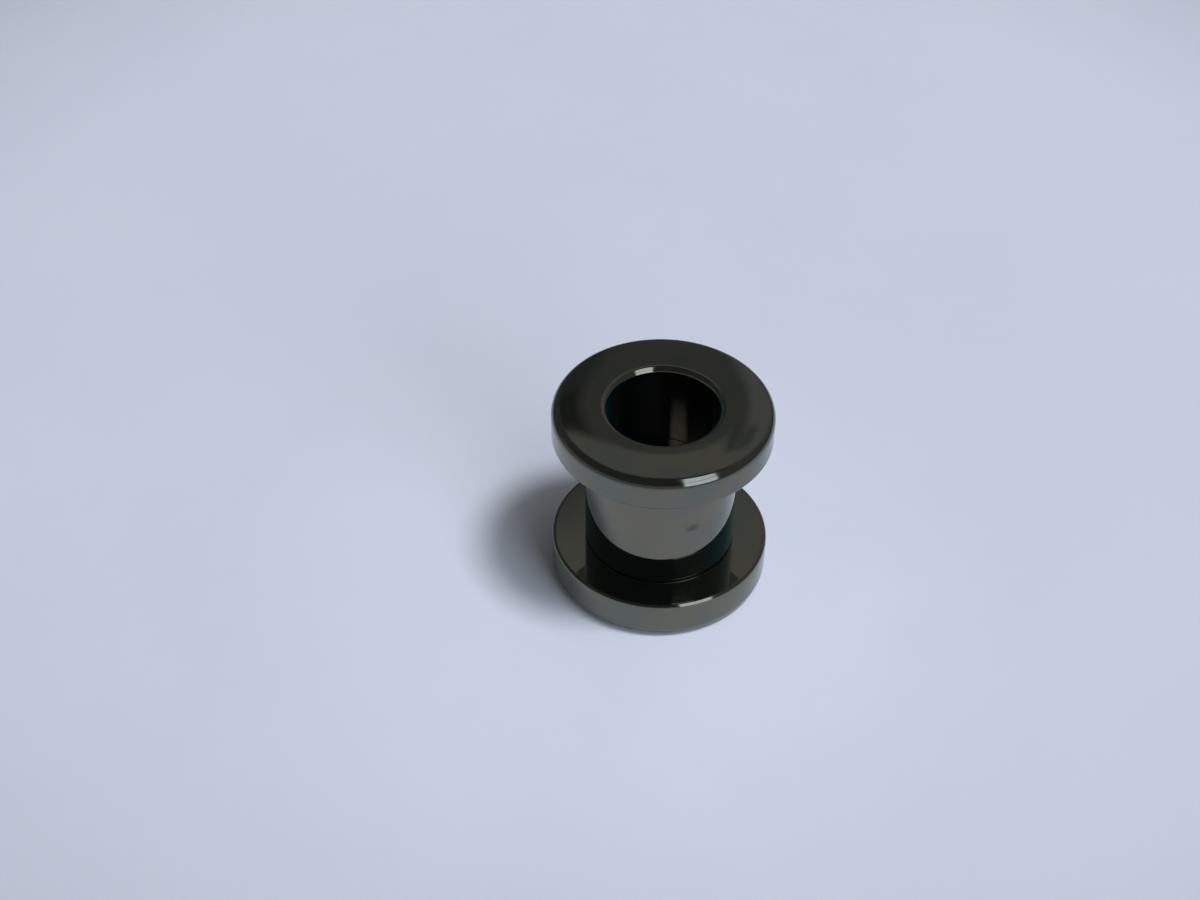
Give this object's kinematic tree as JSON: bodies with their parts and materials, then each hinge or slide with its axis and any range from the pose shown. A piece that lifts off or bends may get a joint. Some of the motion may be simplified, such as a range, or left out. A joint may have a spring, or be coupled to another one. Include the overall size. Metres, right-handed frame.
{
  "type": "flesh tunnel",
  "caption": "Polished black steel flesh tunnel: a short tube with a wide crowned flange at each end; the back flange screws off.",
  "frame": {"origin": "on the bore's axis, in the plane of the back flange's face, on which the tunnel stands", "axes": "+Z along the bore from the back flange to the front flange; the part is round, so X and Y are any two directions across it"},
  "size_m": [0.0116, 0.0116, 0.0112],
  "materials": {
    "black_steel": "mirror-polished stainless steel with a black coating"
  },
  "bodies": {
    "back": {"screw_flange": "black_steel"},
    "front": {"barrel_flange": "black_steel"}
  },
  "joints": [
    {"name": "unscrew", "type": "slide", "parent": "back", "child": "front", "axis": [0, 0, 1], "range_m": [0, 0.014]}
  ]
}
